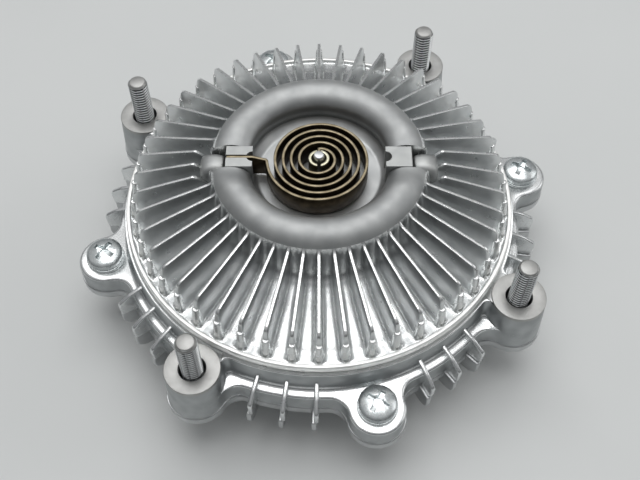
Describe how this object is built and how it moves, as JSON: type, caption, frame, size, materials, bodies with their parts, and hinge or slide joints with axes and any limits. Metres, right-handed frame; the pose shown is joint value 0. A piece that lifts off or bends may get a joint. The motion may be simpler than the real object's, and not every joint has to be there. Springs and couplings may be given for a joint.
{
  "type": "viscous fan clutch",
  "caption": "Round viscous fan clutch: finned aluminium housing with stud bosses and a bimetal coil, turning on a flanged input shaft to drive a cooling fan.",
  "frame": {"origin": "centre of the input flange's rear face, which the part stands on", "axes": "+Z along the shaft towards the coil; the two cover lugs lie along X"},
  "size_m": [0.1912, 0.1912, 0.0745],
  "materials": {
    "cast_aluminium": "bright die cast skin with machined rings",
    "rotor_aluminium": "turned",
    "zinc_plate": "bright zinc plate",
    "steel": "turned steel",
    "bimetal": "dull rolled strip",
    "rubber": "matte",
    "polymer": "moulded"
  },
  "bodies": {
    "drive": {"input_shaft": "steel", "rotor": "rotor_aluminium", "rotor_lock_ring": "steel", "bearing_inner_ring": "steel"},
    "housing": {"front_cover": "cast_aluminium", "rear_case": "cast_aluminium", "case_seal": "rubber", "case_screws": "zinc_plate", "screw_washers": "zinc_plate", "fan_studs": "zinc_plate", "partition_plate": "steel", "bimetal_coil": "bimetal", "spindle_seal": "rubber", "bearing_outer_ring": "steel", "bearing_front_seal": "rubber", "bearing_rear_seal": "rubber", "bearing_circlip": "steel"},
    "cage": {"bearing_balls": "steel", "bearing_cage": "polymer"},
    "valve": {"valve_spindle": "steel", "spindle_sleeve": "steel", "spindle_clip": "steel", "valve_arm": "steel"}
  },
  "joints": [
    {"name": "housing_turn", "type": "hinge", "parent": "drive", "child": "housing", "pos_m": [0, 0, 0.0215], "axis": [0, 0, 1], "continuous": true},
    {"name": "cage_turn", "type": "hinge", "parent": "drive", "child": "cage", "pos_m": [0, 0, 0.0215], "axis": [0, 0, 1], "continuous": true},
    {"name": "valve_turn", "type": "hinge", "parent": "housing", "child": "valve", "pos_m": [0, 0, 0.055], "axis": [0, 0, 1], "range_deg": [0, 70], "deforming": ["bimetal_coil"]}
  ],
  "couplings": [
    {"joint": "cage_turn", "follows": "housing_turn", "ratio": 0.6322}
  ]
}
